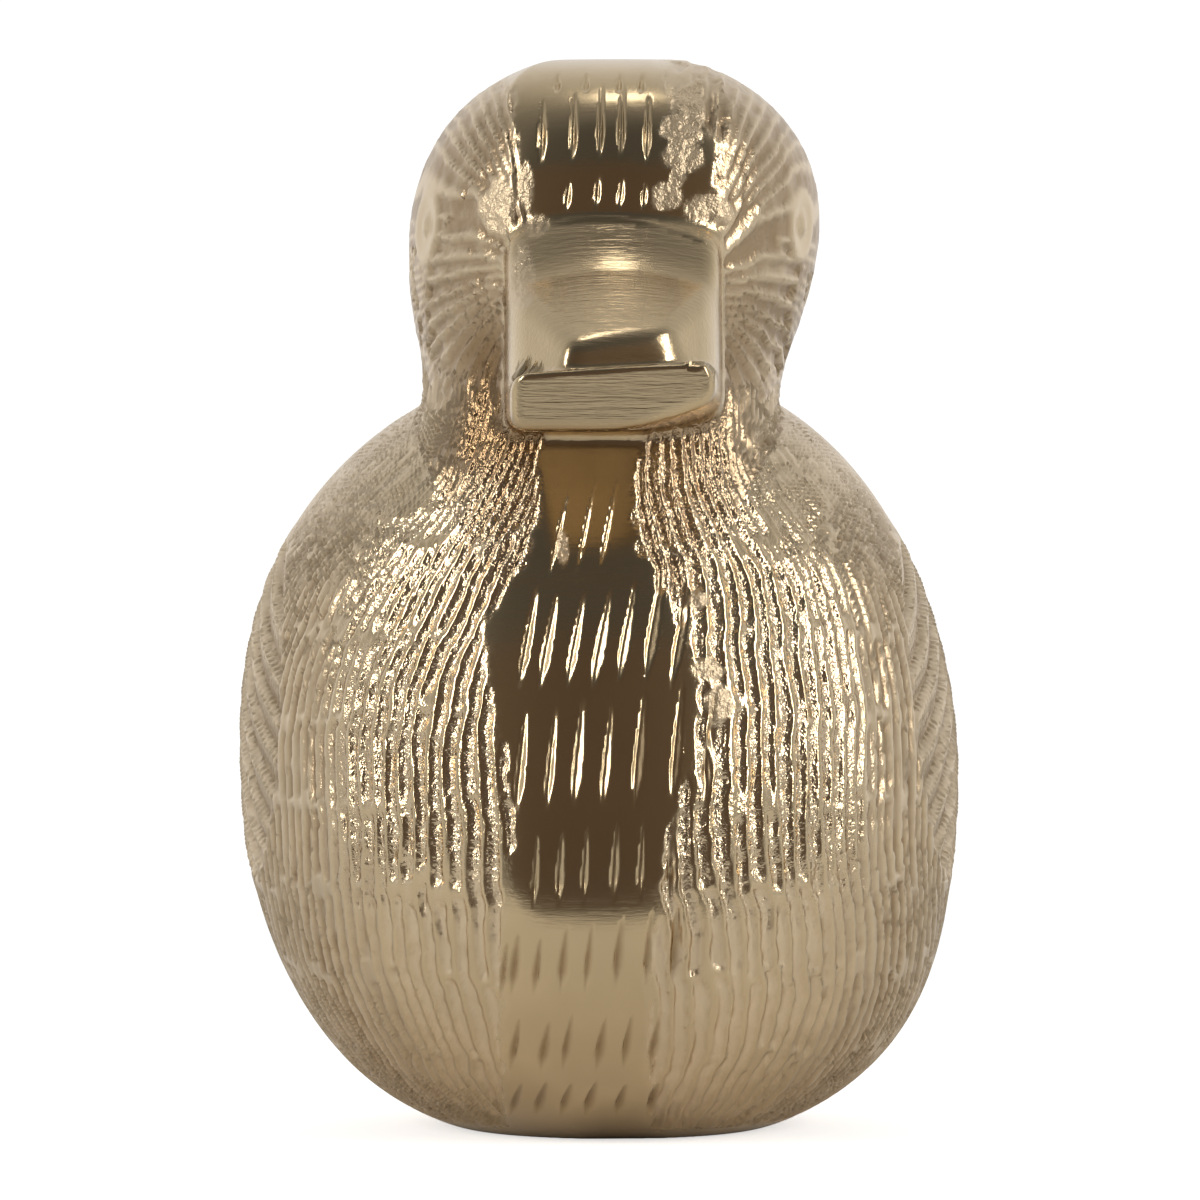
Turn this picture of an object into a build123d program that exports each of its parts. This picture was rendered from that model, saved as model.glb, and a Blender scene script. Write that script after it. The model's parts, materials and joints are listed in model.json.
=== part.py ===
"""A sitting duck of brass, cast hollow as two half shells and brazed together on its middle plane.

The duck faces -Y and stands on Z = 0; X = 0 is the plane on which the two castings meet.
Each half has a step along its outer edge, and the two steps form a channel that the braze fills.
All sizes are in millimetres.
"""

import os
from math import cos, hypot, pi, radians, sin, sqrt

from build123d import *

# Overall height; the other heights follow from it
HEIGHT = 82.9

# Body
BODY_WIDTH = 57.4
BODY_WIDEST_HEIGHT = 0.35 * HEIGHT
BREAST_REACH = 41.0
BREAST_HEIGHT = 0.29 * HEIGHT
RUMP_REACH = 48.0
RUMP_HEIGHT = 0.325 * HEIGHT
BACK_TOP_HEIGHT = 0.735 * HEIGHT
BACK_TOP_Y = -2.0

# Foot, ground flat
FOOT_WIDTH = 25.0
FOOT_FRONT = 22.5
FOOT_REAR = 26.0

# Neck and head; the neck runs down inside the breast to its root
NECK_ROOT_HEIGHT = 0.29 * HEIGHT
NECK_ROOT_WIDTH = 40.0
NECK_ROOT_REACH = 40.2
NECK_WIDTH = 27.2
NECK_HEIGHT = 0.70 * HEIGHT
THROAT_REACH = 35.0
NAPE_REACH = 6.0
NAPE_HEIGHT = 0.735 * HEIGHT
NECK_BLEND = 5.0
HEAD_WIDTH = 32.2
CHEEK_HEIGHT = 0.845 * HEIGHT
FOREHEAD_REACH = 35.4
POLL_REACH = 7.0
CROWN_SETBACK = 15.0
CROWN_GRIND = 0.35

# Casting
WALL = 3.0
LEVELS = 20
TOP_SHARE = 0.95

# Bill, ground to flat facets; its heights are measured from the cheek's
BILL_ROOT_WIDTH = 16.8
BILL_TIP_WIDTH = 15.0
BILL_TIP_REACH = 49.8
BILL_TIP_LEAN = 1.5
BILL_TIP_ROUND = 1.4
BILL_ROOT_HEIGHT = CHEEK_HEIGHT + 0.4
BILL_ROOT_HOLLOW = 0.5
BILL_BRIDGE_REACH = 45.6
BILL_BRIDGE_HEIGHT = CHEEK_HEIGHT - 9.2
BILL_LIP_REACH = 46.2
BILL_LIP_HEIGHT = CHEEK_HEIGHT - 12.4
BILL_LIP_HOLLOW = 0.3
BILL_BOTTOM_HEIGHT = CHEEK_HEIGHT - 17.1
BILL_CHIN_HEIGHT = CHEEK_HEIGHT - 15.7
BILL_FACET_WIDTH = 8.2
BILL_BEVEL_DROP = 4.0
BILL_EMBED = 10.0

# Tail, a short upturned tuft
TAIL_ROOT_Y = 36.0
TAIL_ROOT_Z = 0.434 * HEIGHT
TAIL_ROOT_WIDTH = 34.0
TAIL_ROOT_DEPTH = 21.0
TAIL_TIP_Y = 56.0
TAIL_TIP_Z = 0.58 * HEIGHT
TAIL_TIP_WIDTH = 13.0
TAIL_TIP_DEPTH = 5.0
TAIL_BLUNTNESS = 6

# Wings, raised on the flanks
WING_RELIEF = 0.5
WING_ROUND = 0.17 * HEIGHT
WING_SHOULDER_Y = -6.0
WING_SHOULDER_Z = 0.4 * HEIGHT
WING_TIP_Y = 40.0
WING_TIP_Z = 0.52 * HEIGHT
WING_EDGE_ROUND = 0.35

# Eyes
EYE_HEIGHT = CHEEK_HEIGHT
EYE_ANGLE = 58.0
EYE_SOCKET_RADIUS = 5.2
EYE_SOCKET_DEPTH = 0.6
EYE_BALL_RADIUS = 2.4
EYE_BALL_SINK = 0.1

# Braze channel and vent
SEAM_WIDTH = 3.0
SEAM_DEPTH = 1.5
VENT_DIAMETER = 4.0
VENT_Y = 6.0


def foot_curve(foot, belly, belly_height):
    """Points of the turn from the flat foot up to the widest place of the belly."""
    flare = foot + 0.63 * (belly - foot)
    return (foot, 0), (flare, 0.11 * belly_height), (belly, 0.43 * belly_height), (belly, belly_height)


def swell_curve(start, end, leave, arrive):
    """Points of a curve that is upright at both ends; leave and arrive are shares of its rise."""
    rise = end[1] - start[1]
    return start, (start[0], start[1] + leave * rise), (end[0], end[1] - arrive * rise), end


def dome_curve(start, end, leave, arrive):
    """Points of a curve that starts upright and ends level; arrive is a share of its run."""
    turn = start[1] + leave * (end[1] - start[1])
    return start, (start[0], turn), (end[0] + arrive * (start[0] - end[0]), end[1]), end


# Outlines of the body: breast and rump from the side, flank from the front
with BuildLine(Plane.YZ) as breast_line:
    Bezier(*foot_curve(-FOOT_FRONT, -BREAST_REACH, BREAST_HEIGHT))
    Bezier(*dome_curve((-BREAST_REACH, BREAST_HEIGHT), (BACK_TOP_Y, BACK_TOP_HEIGHT), 0.7, 0.66))

with BuildLine(Plane.YZ) as rump_line:
    Bezier(*foot_curve(FOOT_REAR, RUMP_REACH, RUMP_HEIGHT))
    Bezier(*dome_curve((RUMP_REACH, RUMP_HEIGHT), (BACK_TOP_Y, BACK_TOP_HEIGHT), 0.38, 0.32))

with BuildLine(Plane.XZ) as flank_line:
    Bezier(*foot_curve(FOOT_WIDTH / 2, BODY_WIDTH / 2, BODY_WIDEST_HEIGHT))
    Bezier(*dome_curve((BODY_WIDTH / 2, BODY_WIDEST_HEIGHT), (0, BACK_TOP_HEIGHT), 0.6, 0.63))

# Outlines of the neck and head: throat and nape from the side, cheek from the front
crown = HEIGHT + CROWN_GRIND

with BuildLine(Plane.YZ) as throat_line:
    Bezier(*swell_curve((-NECK_ROOT_REACH, NECK_ROOT_HEIGHT), (-THROAT_REACH, NECK_HEIGHT), 0.6, 0.25))
    Bezier(*swell_curve((-THROAT_REACH, NECK_HEIGHT), (-FOREHEAD_REACH, CHEEK_HEIGHT), 0.38, 0.38))
    Bezier(*dome_curve((-FOREHEAD_REACH, CHEEK_HEIGHT), (-CROWN_SETBACK, crown), 0.92, 0.88))

with BuildLine(Plane.YZ) as nape_line:
    Bezier(*swell_curve((NAPE_REACH, NECK_ROOT_HEIGHT), (NAPE_REACH, NAPE_HEIGHT), 0.33, 0.33))
    Bezier(*swell_curve((NAPE_REACH, NAPE_HEIGHT), (POLL_REACH, CHEEK_HEIGHT), 0.33, 0.33))
    Bezier(*dome_curve((POLL_REACH, CHEEK_HEIGHT), (-CROWN_SETBACK, crown), 0.62, 0.62))

with BuildLine(Plane.XZ) as cheek_line:
    Bezier(*swell_curve((NECK_ROOT_WIDTH / 2, NECK_ROOT_HEIGHT), (NECK_WIDTH / 2, NECK_HEIGHT), 0.5, 0.25))
    Bezier(*swell_curve((NECK_WIDTH / 2, NECK_HEIGHT), (HEAD_WIDTH / 2, CHEEK_HEIGHT), 0.27, 0.50))
    Bezier(*dome_curve((HEAD_WIDTH / 2, CHEEK_HEIGHT), (0, crown), 0.68, 0.68))


def point_at(outline, height):
    """The point where an outline passes a height; every outline only climbs."""
    path = outline.wire()
    low = 0.0
    high = 1.0
    for _ in range(40):
        middle = (low + high) / 2
        if path.position_at(middle).Z < height:
            low = middle
        else:
            high = middle
    return path.position_at(low)


def section_at(front_line, rear_line, side_line, height):
    """The oval cross-section at a height: its middle, half width and half length."""
    front = point_at(front_line, height).Y
    rear = point_at(rear_line, height).Y
    return (front + rear) / 2, point_at(side_line, height).X, (rear - front) / 2


def oval_form(front_line, rear_line, side_line, foot, top, skin):
    """A form of oval cross-sections between two heights, grown all round by skin."""
    full = 1 - cos(pi * TOP_SHARE)
    with BuildPart() as form:
        for step in range(LEVELS + 1):
            share = (1 - cos(pi * TOP_SHARE * step / LEVELS)) / full
            outline_height = foot + share * (top - foot)
            middle, half_width, half_length = section_at(front_line, rear_line, side_line, outline_height)
            with BuildSketch(Plane.XY.offset(outline_height + (2 * share - 1) * skin)):
                with Locations((0, middle)):
                    Ellipse(half_width + skin, half_length + skin)
        loft()
    return form.part


def body_form(skin):
    """The body without the neck."""
    return oval_form(breast_line, rump_line, flank_line, 0, BACK_TOP_HEIGHT - CROWN_GRIND, skin)


def head_form(skin):
    """The neck and head, from the neck's root inside the breast to the crown."""
    return oval_form(throat_line, nape_line, cheek_line, NECK_ROOT_HEIGHT, HEIGHT, skin)


# Bill profile: a hollow slope down to the bridge, a steep step and a flat lip
bill_root_y = -THROAT_REACH + BILL_EMBED
with BuildSketch(Plane.YZ) as bill_profile:
    with BuildLine():
        brow = (-FOREHEAD_REACH + 1, BILL_ROOT_HEIGHT)
        bridge = (-BILL_BRIDGE_REACH, BILL_BRIDGE_HEIGHT)
        step = (-BILL_LIP_REACH, BILL_LIP_HEIGHT)
        lip = (-BILL_TIP_REACH, BILL_LIP_HEIGHT)
        under = (-BILL_TIP_REACH + BILL_TIP_LEAN, BILL_BOTTOM_HEIGHT)
        Line((bill_root_y, BILL_ROOT_HEIGHT), brow)
        SagittaArc(brow, bridge, BILL_ROOT_HOLLOW)
        SagittaArc(bridge, step, BILL_LIP_HOLLOW)
        Polyline(step, lip, under, (bill_root_y, BILL_CHIN_HEIGHT), (bill_root_y, BILL_ROOT_HEIGHT))
    make_face()

# Bevel plane on the left of the bill: from the brow's corner and the bridge down to the side
bevel_start = Vector(BILL_FACET_WIDTH / 2, -BILL_BRIDGE_REACH, BILL_BRIDGE_HEIGHT)
bevel_brow = Vector(BILL_ROOT_WIDTH / 2, brow[0], BILL_ROOT_HEIGHT)
bevel_side = Vector(BILL_ROOT_WIDTH / 2, -BILL_BRIDGE_REACH, BILL_BRIDGE_HEIGHT - BILL_BEVEL_DROP)
bevel_normal = (bevel_side - bevel_start).cross(bevel_brow - bevel_start)

# Bevel cut: what the two bevels take off, down to the level of the lip
with BuildPart() as bevel_cut:
    with BuildSketch(Plane(origin=bevel_start, z_dir=bevel_normal)):
        Rectangle(HEIGHT, HEIGHT)
    extrude(amount=HEIGHT / 2)
    with BuildSketch(Plane.XY.offset(BILL_LIP_HEIGHT)):
        Rectangle(4 * HEIGHT, 4 * HEIGHT)
    extrude(amount=HEIGHT, mode=Mode.INTERSECT)
    mirror(about=Plane.YZ)

# Bill: narrowed towards the tip, with bevels beside the bridge and a rounded tip
with BuildPart() as bill:
    extrude(bill_profile.sketch, amount=BILL_ROOT_WIDTH, both=True)
    with BuildSketch(Plane.XY):
        with BuildLine():
            root_corner = (BILL_ROOT_WIDTH / 2, bill_root_y)
            tip_corner = (BILL_TIP_WIDTH / 2, -BILL_TIP_REACH)
            Polyline((0, bill_root_y), root_corner, tip_corner, (0, -BILL_TIP_REACH))
            mirror(about=Plane.YZ)
        make_face()
    extrude(amount=HEIGHT, mode=Mode.INTERSECT)
    add(bevel_cut.part, mode=Mode.SUBTRACT)
    tip_back = -BILL_TIP_REACH + BILL_TIP_LEAN
    tip_edges = bill.edges().filter_by_position(Axis.Y, -BILL_TIP_REACH - 0.1, tip_back + 0.1)
    fillet(tip_edges.filter_by(Axis.X, reverse=True), radius=BILL_TIP_ROUND)


def tail_form(inset):
    """The tail tuft, an oval that narrows to a rounded tip, drawn in all round by inset."""
    run = TAIL_TIP_Y - TAIL_ROOT_Y
    rise = TAIL_TIP_Z - TAIL_ROOT_Z
    reach = 1 - inset / hypot(run, rise)
    with BuildPart() as tuft:
        for share in (0, 0.3, 0.6, 0.8, 0.9, 0.96, 0.99):
            place = (0, TAIL_ROOT_Y + share * reach * run, TAIL_ROOT_Z + share * reach * rise)
            width = TAIL_ROOT_WIDTH + share * (TAIL_TIP_WIDTH - TAIL_ROOT_WIDTH)
            depth = TAIL_ROOT_DEPTH + share * (TAIL_TIP_DEPTH - TAIL_ROOT_DEPTH)
            rounding = sqrt(1 - share**TAIL_BLUNTNESS)
            with BuildSketch(Plane(origin=place, x_dir=(1, 0, 0), z_dir=(0, run, rise))):
                Ellipse((width / 2 - inset) * rounding, (depth / 2 - inset) * rounding)
        loft()
    return tuft.part


# Wing: the body form grown by the relief, kept only inside the folded wing's outline
with BuildPart() as wing:
    with BuildSketch(Plane.YZ):
        with BuildLine():
            low = (WING_SHOULDER_Y, WING_SHOULDER_Z - WING_ROUND)
            high = (WING_SHOULDER_Y, WING_SHOULDER_Z + WING_ROUND)
            tip = (WING_TIP_Y, WING_TIP_Z)
            ThreePointArc(low, (WING_SHOULDER_Y - WING_ROUND, WING_SHOULDER_Z), high)
            Bezier(high, (high[0] + WING_ROUND, high[1]), (tip[0] - WING_ROUND, high[1]), tip)
            sweep = (tip[0] - 0.7 * WING_ROUND, WING_SHOULDER_Z)
            Bezier(tip, sweep, (low[0] + 1.4 * WING_ROUND, low[1]), low)
        make_face()
    extrude(amount=BODY_WIDTH)
    add(body_form(WING_RELIEF), mode=Mode.INTERSECT)
    wing_skin = wing.faces().sort_by(Axis.X)[-1]
    fillet(wing_skin.edges().filter_by_position(Axis.X, 1, BODY_WIDTH), radius=WING_EDGE_ROUND)

# Duck before hollowing: body, head, bill and tail in one form
with BuildPart() as blank:
    body = add(body_form(0))
    head = add(head_form(0))
    fillet(new_edges(body, head, combined=blank.part), radius=NECK_BLEND)
    add(bill.part)
    add(tail_form(0))

# Channel floor: the same form drawn in all round by the depth of the channel
with BuildPart() as channel_floor:
    inner_body = add(body_form(-SEAM_DEPTH))
    inner_head = add(head_form(-SEAM_DEPTH))
    fillet(new_edges(inner_body, inner_head, combined=channel_floor.part), radius=NECK_BLEND)
    add(tail_form(SEAM_DEPTH))
    with BuildSketch(Plane.YZ):
        add(bill_profile.sketch_local)
        offset(amount=-SEAM_DEPTH, kind=Kind.INTERSECTION)
    extrude(amount=BILL_TIP_WIDTH / 2, both=True)

# Core of the castings: the hollow inside
with BuildPart() as core:
    add(body_form(-WALL))
    add(head_form(-WALL))

# Vent drill, on the seam in the foot
with BuildPart() as vent_drill:
    with Locations((0, VENT_Y, 0)):
        Cylinder(VENT_DIAMETER / 2, 4 * WALL)

# Seam braze: the ring of filler between the channel floor and the outside of the duck
with BuildPart() as seam_braze:
    add(blank.part)
    with BuildSketch(Plane.YZ):
        Rectangle(4 * HEIGHT, 4 * HEIGHT)
    extrude(amount=SEAM_WIDTH / 2, both=True, mode=Mode.INTERSECT)
    add(channel_floor.part, mode=Mode.SUBTRACT)
    add(vent_drill.part, mode=Mode.SUBTRACT)

# Eye: a shallow round socket with a low ball in it, square to the side of the head
head_middle, head_side, head_length = section_at(throat_line, nape_line, cheek_line, EYE_HEIGHT)
eye_side = head_side * sin(radians(EYE_ANGLE))
eye_front = head_length * cos(radians(EYE_ANGLE))
eye_normal = (eye_side / head_side**2, -eye_front / head_length**2, 0)
eye_plane = Plane(origin=(eye_side, head_middle - eye_front, EYE_HEIGHT), z_dir=eye_normal)

# Left half casting: hollow, with the step for the braze along its edge
with BuildPart() as left_half_casting:
    add(blank.part)
    split(bisect_by=Plane.YZ, keep=Keep.TOP)
    add(wing.part)
    with Locations(eye_plane.offset(EYE_SOCKET_RADIUS - EYE_SOCKET_DEPTH)):
        Sphere(EYE_SOCKET_RADIUS, mode=Mode.SUBTRACT)
    with Locations(eye_plane.offset(-EYE_BALL_RADIUS - EYE_BALL_SINK)):
        Sphere(EYE_BALL_RADIUS)
    add(core.part, mode=Mode.SUBTRACT)
    add(seam_braze.part, mode=Mode.SUBTRACT)
    add(vent_drill.part, mode=Mode.SUBTRACT)

# Right half casting: the mirror image
with BuildPart() as right_half_casting:
    add(left_half_casting.part)
    mirror(about=Plane.YZ, mode=Mode.REPLACE)

os.makedirs("parts", exist_ok=True)

left_half_casting.part.label = "left_half_casting"
export_step(left_half_casting.part, "parts/left_half_casting.step")

right_half_casting.part.label = "right_half_casting"
export_step(right_half_casting.part, "parts/right_half_casting.step")

seam_braze.part.label = "seam_braze"
export_step(seam_braze.part, "parts/seam_braze.step")
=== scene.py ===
"""A sitting duck of cast brass: the feathered half shells, the ground and chiselled seam, and its stage.

The skin of the whole duck is drawn once, finely enough for its feather grooves and chisel cuts,
and is then parted into the two castings and the braze between them, so that the seam is flush.
The duck faces -Y and stands on Z = 0. Lengths in this file are millimetres unless a name says metres.
"""

import json
from contextlib import contextmanager
from itertools import product
from math import atan2, hypot, pi, radians
from types import SimpleNamespace

import bpy
import numpy as np
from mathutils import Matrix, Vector

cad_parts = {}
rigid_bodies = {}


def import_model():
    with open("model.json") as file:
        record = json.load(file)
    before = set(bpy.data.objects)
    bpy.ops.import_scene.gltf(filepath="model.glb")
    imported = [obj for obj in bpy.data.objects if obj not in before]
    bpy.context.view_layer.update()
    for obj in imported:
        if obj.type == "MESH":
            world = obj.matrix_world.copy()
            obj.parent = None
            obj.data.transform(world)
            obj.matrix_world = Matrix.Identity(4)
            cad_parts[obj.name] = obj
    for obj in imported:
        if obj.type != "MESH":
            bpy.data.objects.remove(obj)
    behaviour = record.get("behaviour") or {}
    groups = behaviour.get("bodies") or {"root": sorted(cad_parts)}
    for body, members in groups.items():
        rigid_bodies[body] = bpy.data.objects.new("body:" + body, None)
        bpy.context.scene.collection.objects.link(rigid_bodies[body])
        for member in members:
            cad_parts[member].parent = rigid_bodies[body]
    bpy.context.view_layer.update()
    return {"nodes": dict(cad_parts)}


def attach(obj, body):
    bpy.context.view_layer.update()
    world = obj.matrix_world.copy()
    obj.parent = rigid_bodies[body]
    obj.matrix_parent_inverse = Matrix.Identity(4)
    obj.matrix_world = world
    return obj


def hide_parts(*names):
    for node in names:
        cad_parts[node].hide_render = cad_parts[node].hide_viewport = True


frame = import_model()

bl_info = {
    "name": "Brass duck",
    "version": (1, 0, 0),
    "blender": (4, 5, 0),
    "location": "View3D > Sidebar > Duck",
    "description": "Builds the skin and finish of a cast brass duck around its packed frame",
    "category": "Object",
}

MM = 0.001

# Overall form, near that of the castings
HEIGHT = 83.15
BODY_WIDTH = 57.4
BODY_WIDEST = 29.0
BREAST_REACH = 41.0
BREAST_HEIGHT = 24.0
RUMP_REACH = 48.0
RUMP_HEIGHT = 26.9
BACK_TOP = 60.9
BACK_TOP_Y = -2.0
FOOT_WIDTH = 25.0
FOOT_FRONT = 22.5
FOOT_REAR = 26.0
FOOT_ROUND = 0.5

# Neck and head
NECK_ROOT = 24.0
NECK_ROOT_FADE = 8.0
NECK_ROOT_EASE = 30.0
NECK_ROOT_WIDTH = 40.0
NECK_ROOT_REACH = 40.2
NECK_WIDTH = 27.9
NECK_HEIGHT = 58.0
NECK_BLEND = (2.4, 1.2)
NECK_BLEND_PLACES = (6, 12)
THROAT_REACH = 35.0
NAPE_REACH = 6.0
NAPE_HEIGHT = 60.9
HEAD_WIDTH = 31.9
CHEEK_HEIGHT = 70.05
FOREHEAD_REACH = 36.7
CAST_FOREHEAD_REACH = 35.4
POLL_REACH = 7.0
CROWN_SETBACK = 15.0
CROWN = HEIGHT + 0.35
CROWN_ROUND = 0.6
HEAD_LEAN = 1.4
BILL_LEAN = 1.0
BREAST_LEAN = -0.5
FOOT_LEAN = 0.95
HEAD_LEAN_HEIGHTS = (46, 78)
BREAST_LEAN_HEIGHTS = (24, 44)
FOOT_LEAN_HEIGHTS = (25, 5)
GRIND_ROUND = 26.0
GRIND_EDGE = 0.15
FOREHEAD_GRIND = 1.7
BREAST_GRIND = 0.5
THROAT_GRIND = 1.0
FOREHEAD_GRIND_HEIGHTS = (60, 66)
THROAT_GRIND_HEIGHTS = (36, 50)
BREAST_GRIND_X = -0.8

# Bill, whose lip and step were ground a little out of level and out of square
BILL_ROOT_HALF = 8.4
BILL_TIP_HALF = 7.5
BILL_EMBED_Y = -25.0
BILL_BROW = (-34.4, 70.45)
BILL_BRIDGE = (-45.6, 60.85)
BILL_STEP = (-45.4, 57.65)
BILL_TIP = (-49.8, 57.65)
BILL_UNDER = (-48.3, 52.95)
BILL_CHIN = (-25.0, 54.4)
BILL_FACET_HALF = 4.1
BILL_BEVEL_DROP = 14.0
BILL_HOLLOW = 1.6
BILL_STEP_TURN = 0.25
BILL_STEP_REACH = 1.5
BILL_STEP_ROUND = 1.1
BILL_RIDGE_ROUND = 0.8
BILL_LIP_ROUND = 0.7
BILL_BLEND = (1.6, 0.5)
BILL_BLEND_HEIGHTS = (56, 62)
BILL_TILT = 0.07
BILL_DOME = 0.025
BILL_CORNER_START = 1.8
BILL_CORNER_RISE = 0.37

# The fine burr where bill and forehead meet, an arc in the front elevation
ROOT_ARC_TOP = 72.5
ROOT_ARC_FALL = 0.026
ROOT_ARC_ENDS = (-5.4, 8.8)
ROOT_ARC_BURR = 0.1

# Feathers that fan out from beside the bill: the left cheek of the duck first
CHEEK_FAN_X = 5.5
CHEEK_FAN_Z = (63.6, 65.4)
CHEEK_FAN_REACH = 10.0
CHEEK_SPOKE = 0.18
CHEEK_DROOP = 0.04
CHEEK_FINE_FROM = 9.0
CHEEK_FINE_SHARE = 2.5
CHEEK_REAR_Y = -14.0

# Tail
TAIL_ROOT = (36.0, 36.0)
TAIL_TIP = (56.0, 48.1)
TAIL_ROOT_HALF = (17.0, 10.5)
TAIL_TIP_HALF = (6.5, 2.5)
TAIL_BLUNTNESS = 6
TAIL_BLEND = 3.0

# Wings, raised on the flanks
WING_RELIEF = 0.1
WING_ROUND = 14.1
WING_SHOULDER = (-6.0, 33.2)
WING_TIP = (40.0, 43.1)
FEATHER_SPACING = 3.3
FEATHER_RISE = 0.55
FEATHER_RELIEF = 0.7
FEATHER_LIP = 0.82
BARB_SPACING = 0.95
BARB_SLANT = 0.9
BARB_DEPTH = 0.13

# Eyes
EYE_HEIGHT = CHEEK_HEIGHT
EYE_ANGLE = radians(66)
SOCKET_RADIUS = 2.2
SOCKET_DEPTH = 0.25
EYEBALL_RADIUS = 1.9
EYEBALL_RISE = 0.1
EYE_RIM_AWAY = 0.35
EYE_RIM_HALF = 0.4
EYE_RIM_RISE = 0.02

# Vent hole and braze
VENT_Y = 6.0
VENT_RADIUS = 2.0
# The vent hole is darkened halfway with the tarnish-and-shade colour.
VENT_FINISH = {"polish": 0.2, "filed": 0, "tarnish": 0.5, "matte": 1, "grains": 0}
WALL = 3.0
SEAM_HALF = 1.5

# The front elevation: points are drawn in perspective from here on to the plane Y = 0
VIEW_DISTANCE = 550.0
VIEW_HEIGHT = 28.0
VIEW_AIM = 41.9
VIEW_SPAN = 96.0

# The ground strip in the front elevation: height, left edge, right edge
STRIP = (
    (85.2, -6.8, 5.0), (82.7, -6.4, 5.4), (81.1, -6.6, 6.4), (79.0, -6.6, 9.0),
    (77.0, -6.7, 9.2), (74.5, -5.8, 9.0), (72.0, -4.8, 8.4), (54.7, -4.6, 3.4),
    (50.2, -4.7, 2.6), (47.9, -4.9, 2.7), (46.2, -5.4, 3.0), (43.6, -6.9, 4.4),
    (39.4, -9.4, 6.6), (37.1, -9.2, 7.4), (33.9, -8.6, 7.8), (29.1, -7.4, 7.4),
    (25.9, -6.8, 6.4), (21.9, -7.0, 5.1), (17.9, -7.5, 4.5), (13.9, -8.0, 4.0), (1.1, -7.5, 3.8),
)
BACK_STRIP_HALF = 4.6

# Rough places that the grinding left, in the front elevation: across, height, half width, half height
ROUGH_PLACES = (
    (7.2, 82.2, 1.2, 1.4), (6.9, 79.6, 1.9, 1.5), (6.7, 77.6, 1.7, 1.5), (6.2, 75.8, 0.7, 0.9),
    (5.4, 74.3, 1.2, 1.1), (8.9, 73.2, 2.1, 1.3), (-5.9, 74.9, 0.7, 2.0), (-5.2, 71.9, 1.0, 0.9),
    (-6.2, 67.8, 1.0, 2.6), (-8.3, 73.2, 1.8, 2.2),
    (7.9, 41.9, 0.8, 0.7), (8.7, 36.3, 1.4, 1.0), (9.6, 33.6, 1.1, 1.5), (-3.0, 45.9, 0.5, 1.4),
)

# Rows of chisel cuts: top and bottom height, slant to the foot, share of the width, places across and lifts
CUT_ROWS = (
    (84.2, 82.5, -0.1, 0.9, ((-3.4, 0), (-1.1, 0), (1.6, 0), (3.4, 0))),
    (82.7, 76.7, -0.2, 1.0, ((-4.6, -0.4), (-2.1, 0.1), (0.1, 0.9), (1.8, 0.9), (3.9, 0.0))),
    (75.9, 73.2, -0.3, 0.9, ((-2.5, -0.3), (-0.1, 0.2), (1.8, 0.0), (3.7, -0.2))),
    (51.7, 43.7, -1.7, 0.55, ((-2.5, -0.6), (-0.3, 0.3), (1.5, 0.5))),
    (43.1, 34.4, -1.6, 1.2, (
        (-5.0, 0.2), (-3.4, -0.5), (-1.2, -0.3), (0.9, -0.2), (2.9, 0.6), (5.1, 1.6), (7.2, 0.4))),
    (34.3, 24.6, -0.9, 1.15, (
        (-5.9, -0.9), (-3.5, -0.6), (-1.3, 0.1), (1.0, -0.2), (3.6, 0.7), (6.6, 1.5), (9.3, 1.0))),
    (24.1, 17.3, -0.4, 1.0, ((-5.0, -0.8), (-3.0, -0.4), (-1.0, 0.1), (1.4, 0.3), (3.5, 0.6), (6.1, 1.2))),
    (16.2, 10.4, -0.6, 1.2, (
        (-7.4, -1.4), (-6.5, -0.7), (-4.7, -1.0), (-2.6, -0.2),
        (-0.6, 0), (1.8, 0.5), (4.2, 1.2), (6.4, 1.6))),
    (8.6, 4.2, -0.8, 1.2, ((-6.4, 0), (-4.0, -0.3), (-2.2, 0.2), (0.5, 0), (2.6, 0.3), (4.8, 0))),
    (3.4, 0.6, -1.0, 1.2, ((-6.2, 0), (-4.2, 0.1), (-2.2, 0), (-0.2, 0.1), (2.2, 0), (4.8, 0))),
)
CUT_BED = -0.3
BURR_RISE = 0.05
BACK_ROWS = 9
BACK_ROW_HEIGHT = 8.4
BACK_CUT_LENGTH = 7.4
BACK_CUTS = (-3.6, -1.5, 0.7, 2.9)
BACK_CENTRE = (6.0, 28.0)
BACK_RADIUS = 40.0

# Grain of the cast skin, as geometry
LUMP_RISE = 0.12

# How finely the skin is drawn: one step across, and how much each axis is squeezed first
SKIN_STEP = 0.17
SKIN_SQUEEZE = (1.0, 0.24, 0.5)
REAR_SQUEEZE = 0.3
REAR_SQUEEZE_PLACES = (-8, 15)
FIRST_STEP = 0.45
HOLLOW_DEPTH = 1.6
OUTLINE_POINTS = 80
WING_POINTS = 24

# Finish: roughness as cast and as ground, what else adds to it, and the sizes of the patterns
CAST_ROUGHNESS = 0.24
GROUND_ROUGHNESS = 0.16
FILED_ROUGHER = 0.04
MATTE_ROUGHER = 0.13
GRAINS_ROUGHER = 0.1
TONE_PATCH = 6.0
TONE_RANGE = (0.88, 1.08)
SAND_BUMP = 0.2
MATTE_SMOOTHER = -0.85
FILE_LINE = 0.3
FILE_LINE_STRETCH = 0.06
FILE_LINE_STRENGTH = (0.08, 0.42)
FILE_BUMP = 0.09

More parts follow.
